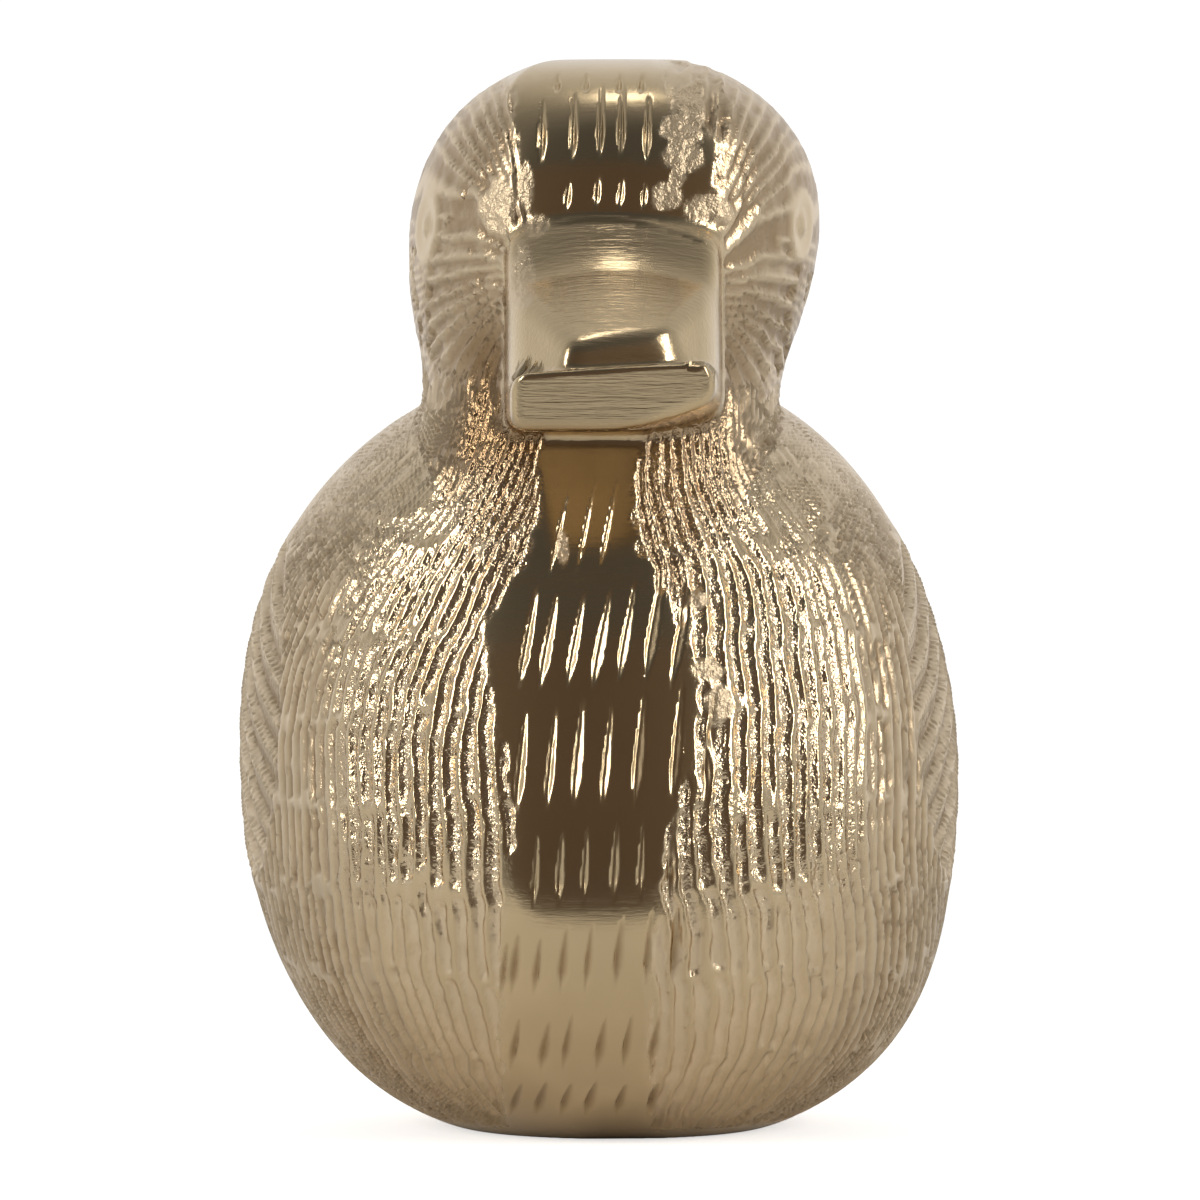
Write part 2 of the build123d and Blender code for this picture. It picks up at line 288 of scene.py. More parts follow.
# Stage: sizes and places of the floor, the dark card and the lamps, and the power of the lamps in watts
FLOOR_SIZE = (1600, 900)
FLOOR_PLACE = (0, 372, 0)
FLOOR_GLOW = 0.62
CARD_SIZE = (1300, 680)
CARD_PLACE = (0, -680, 100)
SIDE_LAMP_PLACE = (640, -430, 340)
SIDE_LAMP_SIZE = (130, 560)
SIDE_LAMP_POWER = 2.7
TOP_LAMP_PLACE = (12, 40, 700)
TOP_LAMP_SIZE = (60, 100)
TOP_LAMP_POWER = 0.14
LAMP_AIM = 40.0
SENSOR = 36.0

# The surround that the brass mirrors: where it is brightest, and its light along that way and from below
SKY_WAY = (0, 0.75, -0.35)
SKY_RANGE = (-0.7, 0.75)
SKY_LIGHT = (0.09, 1.1)
BELOW_RANGE = (-0.4, -0.5)
BELOW_LIGHT = 0.6


# Settings that a user would change


def length_setting(name, description, value):
    """A length, whose default is given in millimetres."""
    return bpy.props.FloatProperty(
        name=name, description=description, default=value * MM, unit="LENGTH", precision=5)


def colour_setting(name, description, value):
    """A colour, whose default is given as an sRGB hex value."""
    return bpy.props.StringProperty(name=name, description=description, default=value)


class DuckSizes(bpy.types.PropertyGroup):
    """Sizes of the feather grooves, the grain and the chisel cuts."""

    groove_pitch: length_setting("Groove pitch", "Distance between two feather grooves", 1.5)
    groove_depth: length_setting("Groove depth", "Depth of a feather groove", 0.36)
    tier_height: length_setting("Tier height", "Height of one tier of feather grooves", 6.5)
    cut_width: length_setting("Cut width", "Width of a chisel cut", 0.8)
    cut_depth: length_setting("Cut depth", "Depth of a chisel cut", 0.3)
    grain: length_setting("Grain", "Size of one grain of the moulding sand", 0.45)


class DuckColours(bpy.types.PropertyGroup):
    """Colours of the brass and of the stage, as sRGB hex values."""

    cast: colour_setting("Cast brass", "Colour of the brass as it left the mould", "#E4CDAA")
    ground: colour_setting("Ground brass", "Colour of the filed and polished brass", "#D6BD94")
    braze: colour_setting("Braze", "Colour of the polished braze", "#D6BD94")
    # This colour is tarnish in the hollows and also painted shade beside the throat and along the bill's
    # lowest edge.
    tarnish: colour_setting("Tarnish", "Colour of brass that was never rubbed bright", "#9C7F5C")
    floor: colour_setting("Floor", "Colour of the floor", "#F4F4F2")
    sky: colour_setting("Surround", "Colour of the light from all around", "#F7FAFF")
    dark: colour_setting("Dark card", "Colour of the card behind the camera", "#54473C")


# Curves of the form


def smoothstep(low, high, value):
    """0 below low, 1 above high, and a smooth rise between them."""
    share = np.clip((value - low) / (high - low), 0, 1)
    return share * share * (3 - 2 * share)


def mix(first, second, share):
    """The value that lies share of the way from first to second."""
    return first + (second - first) * share


def soft_min(first, second, reach):
    """The smaller of two values, rounded where they cross."""
    share = np.clip(0.5 + 0.5 * (second - first) / reach, 0, 1)
    return mix(second, first, share) - reach * share * (1 - share)


def soft_max(first, second, reach):
    """The larger of two values, rounded where they cross."""
    return -soft_min(-first, -second, reach)


def foot_curve(foot, belly, belly_height):
    """Points of the turn from the flat foot up to the widest place of the belly."""
    flare = foot + 0.63 * (belly - foot)
    return (foot, 0), (flare, 0.11 * belly_height), (belly, 0.43 * belly_height), (belly, belly_height)


def swell_curve(start, end, leave, arrive):
    """Points of a curve that is upright at both ends; leave and arrive are shares of its rise."""
    rise = end[1] - start[1]
    return start, (start[0], start[1] + leave * rise), (end[0], end[1] - arrive * rise), end


def dome_curve(start, end, leave, arrive):
    """Points of a curve that starts upright and ends level."""
    rise = end[1] - start[1]
    return start, (start[0], start[1] + leave * rise), (end[0] + arrive * (start[0] - end[0]), end[1]), end


def cubic(curve, count):
    """Points along a cubic curve, from its two ends and the two points that pull it."""
    t = np.linspace(0, 1, count)[:, None]
    p = np.array(curve, float)
    return (1 - t) ** 3 * p[0] + 3 * t * (1 - t) ** 2 * p[1] + 3 * t * t * (1 - t) * p[2] + t ** 3 * p[3]


def outline(*curves):
    """Heights along an outline of cubic curves that only climbs, and its reach at each."""
    path = np.vstack([cubic(curve, OUTLINE_POINTS) for curve in curves])
    return path[:, 1], path[:, 0]


BACK = (BACK_TOP_Y, BACK_TOP)
BREAST_LINE = outline(
    foot_curve(-FOOT_FRONT, -BREAST_REACH, BREAST_HEIGHT),
    dome_curve((-BREAST_REACH, BREAST_HEIGHT), BACK, 0.7, 0.66))
RUMP_LINE = outline(
    foot_curve(FOOT_REAR, RUMP_REACH, RUMP_HEIGHT),
    dome_curve((RUMP_REACH, RUMP_HEIGHT), BACK, 0.38, 0.32))
FLANK_LINE = outline(
    foot_curve(FOOT_WIDTH / 2, BODY_WIDTH / 2, BODY_WIDEST),
    dome_curve((BODY_WIDTH / 2, BODY_WIDEST), (0, BACK_TOP), 0.6, 0.57))


def throat_line(forehead_reach, leave, arrive):
    """Outline of the throat and forehead, seen from the side."""
    return outline(
        swell_curve((-NECK_ROOT_REACH, NECK_ROOT), (-THROAT_REACH, NECK_HEIGHT), 0.6, 0.25),
        swell_curve((-THROAT_REACH, NECK_HEIGHT), (-forehead_reach, CHEEK_HEIGHT), 0.38, 0.38),
        dome_curve((-forehead_reach, CHEEK_HEIGHT), (-CROWN_SETBACK, CROWN), leave, arrive))


THROAT_LINE = throat_line(FOREHEAD_REACH, 0.92, 0.88)
CAST_LINE = throat_line(CAST_FOREHEAD_REACH, 0.92, 0.88)
GROUND_LINE = throat_line(FOREHEAD_REACH, 0.75, 0.72)
NAPE_LINE = outline(
    swell_curve((NAPE_REACH, NECK_ROOT), (NAPE_REACH, NAPE_HEIGHT), 0.33, 0.33),
    swell_curve((NAPE_REACH, NAPE_HEIGHT), (POLL_REACH, CHEEK_HEIGHT), 0.33, 0.33),
    dome_curve((POLL_REACH, CHEEK_HEIGHT), (-CROWN_SETBACK, CROWN), 0.62, 0.62))
CHEEK_LINE = outline(
    swell_curve((NECK_ROOT_WIDTH / 2, NECK_ROOT), (NECK_WIDTH / 2, NECK_HEIGHT), 0.5, 0.25),
    swell_curve((NECK_WIDTH / 2, NECK_HEIGHT), (HEAD_WIDTH / 2, CHEEK_HEIGHT), 0.27, 0.5),
    dome_curve((HEAD_WIDTH / 2, CHEEK_HEIGHT), (0, CROWN), 0.62, 0.62))
BODY_LINES = (BREAST_LINE, RUMP_LINE, FLANK_LINE)
HEAD_LINES = (THROAT_LINE, NAPE_LINE, CHEEK_LINE)
CAST_HEAD_LINES = (CAST_LINE, NAPE_LINE, CHEEK_LINE)
LEAST_RADIUS = 0.05

# Skin from the middle of the breast round to the tail, and the groove widths that cover it: wider behind
GROOVE_SPREAD = ((0, 42, 62, 140), (0, 42, 57, 96))


def section(lines, height):
    """Middle, half length and half width of the oval section of a form at each height."""
    front, rear, side = (np.interp(height, *line) for line in lines)
    half_length = np.maximum((rear - front) / 2, LEAST_RADIUS)
    return (front + rear) / 2, half_length, np.maximum(side, LEAST_RADIUS)


def oval_gap(lines, x, y, z):
    """How far points lie outside an oval form, measured level with the floor."""
    middle, half_length, half_width = section(lines, z)
    away = np.hypot(x, y - middle)
    share = np.hypot(x / half_width, (y - middle) / half_length) + 1e-9
    return away - away / share


def lean(z):
    """How far the hand-made form sways to the duck's left at each height."""
    foot = FOOT_LEAN * smoothstep(*FOOT_LEAN_HEIGHTS, z)
    breast = BREAST_LEAN * smoothstep(*BREAST_LEAN_HEIGHTS, z)
    return foot + breast + (HEAD_LEAN - BREAST_LEAN) * smoothstep(*HEAD_LEAN_HEIGHTS, z)


def plane_gap(first, second, y, z):
    """How far points lie outside a plane through two points of the side view, on its left going along."""
    run = second[0] - first[0]
    rise = second[1] - first[1]
    length = hypot(run, rise)
    return ((z - first[1]) * run - (y - first[0]) * rise) / length


def bill_gap(x, y, z):
    """How far points lie outside the ground facets of the bill."""
    level = z - BILL_TILT * x
    past_bridge = 1.4
    along = np.clip((y - BILL_BROW[0]) / (BILL_BRIDGE[0] - BILL_BROW[0]), 0, past_bridge)
    hollow = BILL_HOLLOW * (1 - along) * smoothstep(0, 0.4, along)
    dome = BILL_DOME * x ** 2 * (1 - 0.5 * along)
    facet = -plane_gap(BILL_BROW, BILL_BRIDGE, y, z) + hollow + dome
    step = -plane_gap(BILL_BRIDGE, BILL_STEP, y - BILL_STEP_TURN * x + BILL_STEP_REACH, level)
    corner = np.array((BILL_ROOT_HALF, *BILL_BROW))
    across = np.array((BILL_FACET_HALF, *BILL_BRIDGE)) - corner
    down = np.array((BILL_ROOT_HALF, BILL_BRIDGE[0], BILL_BRIDGE[1] - BILL_BEVEL_DROP)) - corner
    normal = np.cross(down, across)
    normal *= np.sign(normal[0]) / np.linalg.norm(normal)
    bevel = (np.abs(x) - corner[0]) * normal[0] + (y - corner[1]) * normal[1] + (z - corner[2]) * normal[2]
    ridge = soft_max(soft_max(facet, bevel, BILL_RIDGE_ROUND), step, BILL_STEP_ROUND)
    block = soft_min(ridge, level - BILL_TIP[1], BILL_LIP_ROUND)
    front = -plane_gap(BILL_TIP, BILL_UNDER, y, z)
    under = -plane_gap(BILL_UNDER, BILL_CHIN, y, z)
    corner_line = BILL_UNDER[1] + BILL_CORNER_RISE * (x - BILL_CORNER_START)
    corner_cut = (corner_line - z) / hypot(1, BILL_CORNER_RISE)
    taper = np.clip((y - BILL_EMBED_Y) / (BILL_TIP[0] - BILL_EMBED_Y), 0, 1)
    side = np.abs(x) - mix(BILL_ROOT_HALF, BILL_TIP_HALF, taper)
    for wall, round_edge in ((front, 0.5), (under, 1.0), (corner_cut, 1.0), (side, 1.4)):
        block = soft_max(block, wall, round_edge)
    return np.maximum(block, y - BILL_EMBED_Y)


def tail_gap(x, y, z):
    """How far points lie outside the blunt upturned tail."""
    run = TAIL_TIP[0] - TAIL_ROOT[0]
    rise = TAIL_TIP[1] - TAIL_ROOT[1]
    length = hypot(run, rise)
    share = ((y - TAIL_ROOT[0]) * run + (z - TAIL_ROOT[1]) * rise) / length ** 2
    depth = ((z - TAIL_ROOT[1]) * run - (y - TAIL_ROOT[0]) * rise) / length
    inside = np.clip(share, 0, 0.995)
    blunt = np.sqrt(1 - inside ** TAIL_BLUNTNESS)
    half_width = mix(TAIL_ROOT_HALF[0], TAIL_TIP_HALF[0], inside) * blunt
    half_depth = mix(TAIL_ROOT_HALF[1], TAIL_TIP_HALF[1], inside) * blunt
    away = np.hypot(x, depth)
    gap = away - away / (np.hypot(x / half_width, depth / half_depth) + 1e-9)
    return np.maximum(gap, np.maximum(share - 1, -share) * length)


def ground_gap(x, turned, y, z):
    """How far points lie in front of the breast and forehead as they were ground, flatter than the form."""
    above = smoothstep(*FOREHEAD_GRIND_HEIGHTS, z)
    front = soft_min(np.interp(z, *GROUND_LINE, left=0), np.interp(z, *BREAST_LINE, right=0), 0.5)
    across = mix(x - BREAST_GRIND_X, turned, above)
    below = mix(BREAST_GRIND, THROAT_GRIND, smoothstep(*THROAT_GRIND_HEIGHTS, z))
    depth = mix(below, FOREHEAD_GRIND, above)
    return front + depth + across ** 2 / (2 * GRIND_ROUND) - y


def form_gaps(points, ground):
    """How far points lie outside the duck, its body, head and bill, as ground or as the castings are."""
    x, y, z = points.T
    turned = x - lean(z) if ground else x
    body = oval_gap(BODY_LINES, turned, y, z)
    rooted = np.maximum(NECK_ROOT + NECK_ROOT_FADE - z, 0) ** 2 / NECK_ROOT_EASE
    head = oval_gap(HEAD_LINES if ground else CAST_HEAD_LINES, turned, y, z)
    head = np.maximum(head + rooted, NECK_ROOT - z)
    bill = bill_gap(x - BILL_LEAN if ground else x, y, z)
    whole = soft_min(body, head, mix(*NECK_BLEND, smoothstep(*NECK_BLEND_PLACES, np.abs(turned))))
    if ground:
        whole = soft_max(whole, ground_gap(x, turned, y, z), GRIND_EDGE)
    whole = soft_min(whole, bill, mix(*BILL_BLEND, smoothstep(*BILL_BLEND_HEIGHTS, z)))
    whole = soft_min(whole, tail_gap(turned, y, z), TAIL_BLEND)
    whole = soft_max(whole, -z, FOOT_ROUND)
    return soft_max(whole, z - HEIGHT, CROWN_ROUND), body, head, bill


def form_slope(points):
    """The gap of each point and the slope of that gap along X, Y and Z."""
    step = 0.03
    gap = form_gaps(points, True)[0]
    slope = np.empty_like(points)
    for axis in range(3):
        shift = np.zeros(3)
        shift[axis] = step
        slope[:, axis] = (form_gaps(points + shift, True)[0] - gap) / step
    return gap, slope


def on_form(points):
    """Points moved on to the smooth form, and the direction that is square to it there."""
    rounds = 5
    least_steep = 0.05
    longest_move = 0.6
    for _ in range(rounds):
        gap, slope = form_slope(points)
        steep = np.maximum((slope ** 2).sum(1), least_steep)
        move = np.clip(gap / steep, -longest_move, longest_move)
        points = points - move[:, None] * slope
    slope = form_slope(points)[1]
    return points, slope / np.linalg.norm(slope, axis=1)[:, None]


# Relief of the skin


def random_at(cells, seed):
    """A fixed random number from -1 to 1 for each cell of whole numbers."""
    mixed = np.zeros(cells.shape[0], np.int64) + seed * 374761393
    for axis, factor in zip(range(cells.shape[1]), (73856093, 19349663, 83492791)):
        mixed = mixed ^ (cells[:, axis] * factor)
    mixed = (mixed ^ (mixed >> 13)) * 1274126177
    return ((mixed ^ (mixed >> 16)) & 0xFFFFF) / 0x7FFFF - 1


def noise(points, size, seed):
    """Smooth random numbers from -1 to 1 whose lumps have the given size."""
    place = points / size + 11.7 * seed
    cell = np.floor(place).astype(np.int64)
    share = place - cell
    share = share * share * (3 - 2 * share)
    total = np.zeros(len(points))
    for corner in product((0, 1), repeat=points.shape[1]):
        weight = np.prod(np.where(np.array(corner) == 1, share, 1 - share), axis=1)
        total += weight * random_at(cell + np.array(corner), seed)
    return total


def front_elevation(points):
    """Places across and heights of points as they are seen from the front."""
    near = VIEW_DISTANCE / (VIEW_DISTANCE + points[:, 1])
    return points[:, 0] * near, VIEW_HEIGHT + (points[:, 2] - VIEW_HEIGHT) * near


def arc_table(half_width, half_length):
    """Angles from the front of an oval to its rear, and the length of skin up to each."""
    angle = np.linspace(0, pi, 400)
    speed = np.hypot(half_width * np.cos(angle), half_length * np.sin(angle))
    length = np.concatenate(([0], np.cumsum((speed[1:] + speed[:-1]) / 2 * np.diff(angle))))
    return angle, length


def round_angle(lines, x, y, z):
    """The angle of each point round an oval form, 0 at the front."""
    middle, half_length, half_width = section(lines, z)
    return np.arctan2(x / half_width, -(y - middle) / half_length)


def groove(phase, points, height, tier_height, wall, seed):
    """Depth share, from 0 on a ridge to 1 in a valley, of steep grooves drawn in tiers."""
    tier_place = height / tier_height + 0.12 * noise(points, 2.6, seed)
    tier = np.floor(tier_place).astype(np.int64)
    end = tier_place - tier
    turn = smoothstep(0.75, 1, end)
    phase = phase + 0.32 * mix(random_at(tier[:, None], seed), random_at(tier[:, None] + 1, seed), turn)
    sway = 0.22 * noise(points * np.array((1, 1, 0.4)), 1.8, seed + 1)
    phase = phase + sway + 0.08 * noise(points, 0.6, seed + 4)
    count = np.floor(phase).astype(np.int64)
    own = random_at(count[:, None], seed + 2)
    across = np.abs(phase - count - 0.5 + 0.05 * own)
    bed = 0.2 + 0.04 * own + 0.05 * noise(points, 1.0, seed + 6)
    valley = 1 - smoothstep(bed, bed + wall, across)
    cell = np.stack((count, tier), 1)
    late = 0.12 * random_at(cell, seed + 5)
    at_end = smoothstep(0.1, 0.04, np.minimum(end + late, 1 - end - late))
    broken = at_end * (random_at(cell, seed + 7) > 0.1)
    return valley * (0.95 + 0.15 * own) * (1 - 0.8 * broken)


def inside_outline(y, z, corners):
    """Signed distance of side view points from a closed outline, positive inside."""
    inside = np.zeros(len(y), bool)
    nearest = np.full(len(y), 1e9)
    for (y0, z0), (y1, z1) in zip(corners, np.roll(corners, -1, axis=0)):
        run = y1 - y0
        rise = z1 - z0
        along = np.clip(((y - y0) * run + (z - z0) * rise) / (run ** 2 + rise ** 2), 0, 1)
        nearest = np.minimum(nearest, np.hypot(y - mix(y0, y1, along), z - mix(z0, z1, along)))
        if rise != 0:
            crossing = (z0 > z) != (z1 > z)
            inside ^= crossing & (y < y0 + (z - z0) / rise * run)
    return np.where(inside, nearest, -nearest)


def wing_outline():
    """Corners of a wing in the side view: a round shoulder and a tapering tip."""
    turn = np.linspace(-pi / 2, -3 * pi / 2, WING_POINTS)
    middle_y, middle_z = WING_SHOULDER
    shoulder = np.stack((middle_y + WING_ROUND * np.cos(turn), middle_z + WING_ROUND * np.sin(turn)), 1)
    low = shoulder[0]
    high = shoulder[-1]
    tip = np.array(WING_TIP)
    upper = (high, (high[0] + WING_ROUND, high[1]), (tip[0] - WING_ROUND, high[1]), tip)
    lower = (tip, (tip[0] - 0.7 * WING_ROUND, middle_z), (low[0] + 1.4 * WING_ROUND, low[1]), low)
    return np.vstack((shoulder, cubic(upper, WING_POINTS)[1:-1], tip[None], cubic(lower, WING_POINTS)[1:-1]))


def wing_relief(points):
    """Height of the wings and their feathers, and where they are."""
    x, y, z = points.T
    flank = smoothstep(8, 14, np.abs(x))
    depth = inside_outline(y, z, wing_outline())
    wing = smoothstep(-1.2, 0.8, depth) * flank
    sweep = (z - FEATHER_RISE * y) / FEATHER_SPACING + 0.12 * noise(points, 4.0, 31)
    step = sweep - np.floor(sweep)
    feather = np.where(step < FEATHER_LIP, step / FEATHER_LIP, (1 - step) / (1 - FEATHER_LIP)) - 0.5
    barb = np.abs((y + BARB_SLANT * z) / BARB_SPACING % 1 - 0.5) * 2
    barbs = BARB_DEPTH * (barb > 0.62) * smoothstep(5, -10, y)
    edge = smoothstep(0.4, 1.6, depth)
    height = WING_RELIEF * wing + wing * edge * (FEATHER_RELIEF * (feather - 0.4) - barbs)
    return height, wing * edge


def eye_relief(points):
    """Height of the two eyes: a round ball in a shallow socket."""
    middle, half_length, half_width = section(HEAD_LINES, np.array([EYE_HEIGHT]))
    height = np.zeros(len(points))
    place = np.zeros(len(points))
    for side in (1, -1):
        centre = np.array((
            side * half_width[0] * np.sin(EYE_ANGLE) + lean(EYE_HEIGHT),
            middle[0] - half_length[0] * np.cos(EYE_ANGLE), EYE_HEIGHT))
        away = np.linalg.norm(points - centre, axis=1)
        socket = -SOCKET_DEPTH * np.clip(1 - (away / SOCKET_RADIUS) ** 2, 0, 1)
        ball = np.sqrt(np.clip(EYEBALL_RADIUS ** 2 - away ** 2, 0, None)) - EYEBALL_RADIUS + EYEBALL_RISE
        height += np.where(away < SOCKET_RADIUS, np.maximum(socket, ball), 0)
        rim = np.clip(1 - np.abs(away - SOCKET_RADIUS - EYE_RIM_AWAY) / EYE_RIM_HALF, 0, 1)
        height += EYE_RIM_RISE * rim
        place = np.maximum(place, smoothstep(SOCKET_RADIUS + 1.0, SOCKET_RADIUS + 0.5, away))
    return height, place


def cut_depth(across, height, cut, width, bed_place):
    """Depth share of one chisel cut, which widens to its lower third and ends in a point, and its burr."""
    (top_x, top_z), (foot_x, foot_z) = cut
    run = foot_x - top_x
    rise = foot_z - top_z
    length = hypot(run, rise)
    along = ((across - top_x) * run + (height - top_z) * rise) / length ** 2
    side = ((across - top_x) * -rise + (height - top_z) * run) / length
    swell = mix(0.45, 1.0, smoothstep(0, 0.6, along))
    taper = smoothstep(0, 0.12, along) * swell * np.clip((1 - along) / 0.3, 0, 1)
    half = width / 2 * taper + 1e-6
    bed = bed_place * half
    left = (side + half) / (half + bed)
    right = (half - side) / (half - bed)
    depth = np.clip(np.minimum(left, right), 0, 1) * taper
    burr = np.clip(1 - np.abs(side - half - 0.1) / 0.14, 0, 1) * taper
    within = (along > 0) & (along < 1)
    return np.where(within, depth, 0), np.where(within, burr, 0)


def front_cuts():
    """Top and foot of each chisel cut in the front elevation, its share of the width and its bed's place."""
    cuts = []
    for top, foot, slant, share, places in CUT_ROWS:
        bed_place = 0.0 if top > NECK_HEIGHT else CUT_BED
        for place, lift in places:
            cuts.append((((place, top + lift), (place + slant, foot + 0.3 * lift)), share, bed_place))
    return cuts


def back_cuts():
    """Top and foot of each chisel cut on the back, with heights measured along the skin."""
    cuts = []
    for row in range(BACK_ROWS):
        for index, place in enumerate(BACK_CUTS):
            start = row * BACK_ROW_HEIGHT + 0.7 * np.sin(2.1 * index + 1.3 * row)
            top = (place + 0.5 * (row % 2), start + BACK_CUT_LENGTH)
            cuts.append(((top, (place - 0.5, start)), 1.0, 0.0))
    return cuts


def chisel_relief(points, facing_front, width):
    """Depth share and burr of every chisel cut."""
    across, height = front_elevation(points)
    angle = np.arctan2(points[:, 2] - BACK_CENTRE[1], points[:, 1] - BACK_CENTRE[0])
    length = BACK_RADIUS * angle
    depth = np.zeros(len(points))
    burr = np.zeros(len(points))
    for cuts, u, v, here in (
            (front_cuts(), across, height, facing_front),
            (back_cuts(), points[:, 0], length, ~facing_front)):
        for number, (cut, share, bed_place) in enumerate(cuts):
            (top_x, top_z), (foot_x, foot_z) = cut
            near = here & (np.abs(u - (top_x + foot_x) / 2) < 2.5) & (v < top_z + 0.5) & (v > foot_z - 0.5)
            if not near.any():
                continue
            own_width = width * share * (0.95 + 0.1 * np.sin(3.1 * number))
            one, edge = cut_depth(u[near], v[near], cut, own_width, bed_place)
            depth[near] = np.maximum(depth[near], one * (1.35 + bed_place))
            burr[near] = np.maximum(burr[near], edge)
    return depth, burr * (depth < 0.02)


def ground_strip(points, facing_front):
    """How far inside the ground seam strip points lie, with a ragged edge, and rough places left in it."""
    across, height = front_elevation(points)
    levels, left, right = (np.array(column)[::-1] for column in zip(*STRIP))
    flat = np.stack((across, height), 1)
    ragged = 0.4 * noise(flat, 1.3, 41) + 0.2 * noise(flat, 0.5, 42)
    ragged = ragged * (1 + 1.5 * smoothstep(78, 81, height))
    front = np.minimum(across - np.interp(height, levels, left), np.interp(height, levels, right) - across)
    rear = BACK_STRIP_HALF - np.abs(points[:, 0])
    rough = np.zeros(len(points))
    for x, z, half_width, half_height in ROUGH_PLACES:
        away = np.hypot((across - x) / half_width, (height - z) / half_height)
        rough = np.maximum(rough, smoothstep(1.15, 0.8, away + 0.5 * ragged))
    return np.where(facing_front, front, rear) + ragged, np.where(facing_front, rough, 0)


def root_arc(points):
    """The burr between bill and forehead, 1 along its middle."""
    across, height = front_elevation(points)
    away = np.abs(height - ROOT_ARC_TOP + ROOT_ARC_FALL * across ** 2)
    return smoothstep(0.35, 0.05, away) * (across > ROOT_ARC_ENDS[0]) * (across < ROOT_ARC_ENDS[1])


def skin_length(angle, half_width, half_length):
    """Length of skin from the front of an oval round to each angle, with the sign of the angle."""
    return np.sign(angle) * np.interp(np.abs(angle), *arc_table(half_width, half_length))


def body_valleys(points, angle, pitch, tier):
    """Valleys between the steep feathers of breast and flanks, crowded at the throat and wider below."""
    x, y, z = points.T
    length = skin_length(angle, BODY_WIDTH / 2, (BREAST_REACH + RUMP_REACH) / 2)
    spread = np.sign(length) * np.interp(np.abs(length), *GROOVE_SPREAD)
    throat = 1 + 0.3 * smoothstep(42, 53, z)
    right_breast = 1 + 0.22 * smoothstep(30, 50, z) * smoothstep(2, -6, x)
    belly = 1 - 0.15 * smoothstep(26, 8, z)
    leaning = 0.3 * np.maximum(z - 34, 0) * smoothstep(-1, -5, x) * smoothstep(-24, -12, x)
    return groove((spread * (throat * right_breast * belly) - leaning) / pitch, points, z, tier, 0.16, 3)


def head_valleys(points, turned, angle, pitch, tier):
    """Valleys between the feathers of the head, upright or fanned on the cheeks, and where fans end."""
    y, z = points[:, 1], points[:, 2]
    length = skin_length(angle, HEAD_WIDTH / 2, (THROAT_REACH + POLL_REACH) / 2)
    upright = groove(length / (1.1 * pitch), points, z + 2.0, 1.2 * tier, 0.26, 7)
    beside = np.abs(turned) - CHEEK_FAN_X
    above = z - np.where(turned > 0, *CHEEK_FAN_Z)
    away = np.hypot(beside, above)
    outward = np.maximum(beside, -2)
    droop = CHEEK_DROOP * away ** 2 * smoothstep(1.0, 0.4, np.arctan2(above, outward))
    spoke = np.arctan2(above + droop, outward)
    far = away > CHEEK_FINE_FROM + noise(points, 2.0, 14)
    spokes = np.where(far, CHEEK_FINE_SHARE, 1.0) * spoke / CHEEK_SPOKE
    fan = groove(spokes, points, away, 3 * tier, 0.26, 11)
    reach = CHEEK_FAN_REACH + 14.0 * smoothstep(0.6, 0.9, spoke) + 1.2 * noise(points, 2.0, 12)
    on_fan = (away < reach) & (y < CHEEK_REAR_Y)
    return np.where(on_fan, 1.1 * fan, 0.7 * upright), on_fan & far


def survey(points, normals, sizes):
    """What lies at each point of the skin: its angle, and a share from 0 to 1 for each feature."""
    x, y, z = points.T
    up = normals[:, 2]
    whole, body, head, bill = form_gaps(points, True)
    here = SimpleNamespace(y=y, z=z, up=up, turned=x - lean(z), on_head=head < body)
    body_angle = round_angle(BODY_LINES, here.turned, y, np.minimum(z, BACK_TOP - 4))
    head_angle = round_angle(HEAD_LINES, here.turned, y, z)
    here.angle = np.abs(np.where(here.on_head, head_angle, body_angle))
    in_front = here.angle < pi / 2
    here.on_bill = smoothstep(0.5, 0.05, bill - whole)
    on_foot = smoothstep(1.2, 0.4, z) * smoothstep(-0.3, -0.8, up)
    here.wing, here.on_wing = wing_relief(points)
    here.eye, here.on_eye = eye_relief(points)

    inside, rough = ground_strip(points, in_front)
    here.rough = rough * (1 - 0.5 * here.on_bill)
    soft = 1 + 2.5 * smoothstep(77, 81, z)
    strip = smoothstep(-0.6 * soft, 0.5 * soft, inside)
    here.grind = np.maximum(np.maximum(strip, here.on_bill), on_foot) * (1 - here.rough)
    cut, here.burr = chisel_relief(points, in_front, sizes.cut_width / MM)
    off_crown = np.where(in_front, smoothstep(0.97, 0.85, up), 1)
    here.cut = cut * (1 - here.on_bill) * (1 - on_foot) * off_crown
    here.arc = root_arc(points) * in_front * (1 - here.rough)

    pitch = sizes.groove_pitch / MM
    tier = sizes.tier_height / MM
    body_valley = body_valleys(points, body_angle, pitch, tier)
    head_valley, far = head_valleys(points, here.turned, head_angle, pitch, tier)
    above_neck = here.on_head & (z > NECK_HEIGHT - 1.5 + 3.0 * noise(points, 2.6, 13))
    here.far_fan = above_neck & far
    valley = np.where(above_neck, head_valley, body_valley) * (0.9 + 0.4 * noise(points, 1.4, 61))
    valley = np.clip(valley - 1.7 * here.grind, 0, 1)
    bare_back = smoothstep(0.3, 0.6, up) * smoothstep(-14, -4, y) * (1 - here.on_head)
    here.valley = valley * (1 - here.on_wing) * (1 - here.on_eye) * (1 - here.rough) * (1 - bare_back)
    here.breast = smoothstep(1.0, 0.55, here.angle)
    here.level = smoothstep(0.35, 0.65, up) * (1 - here.on_head)
    return here


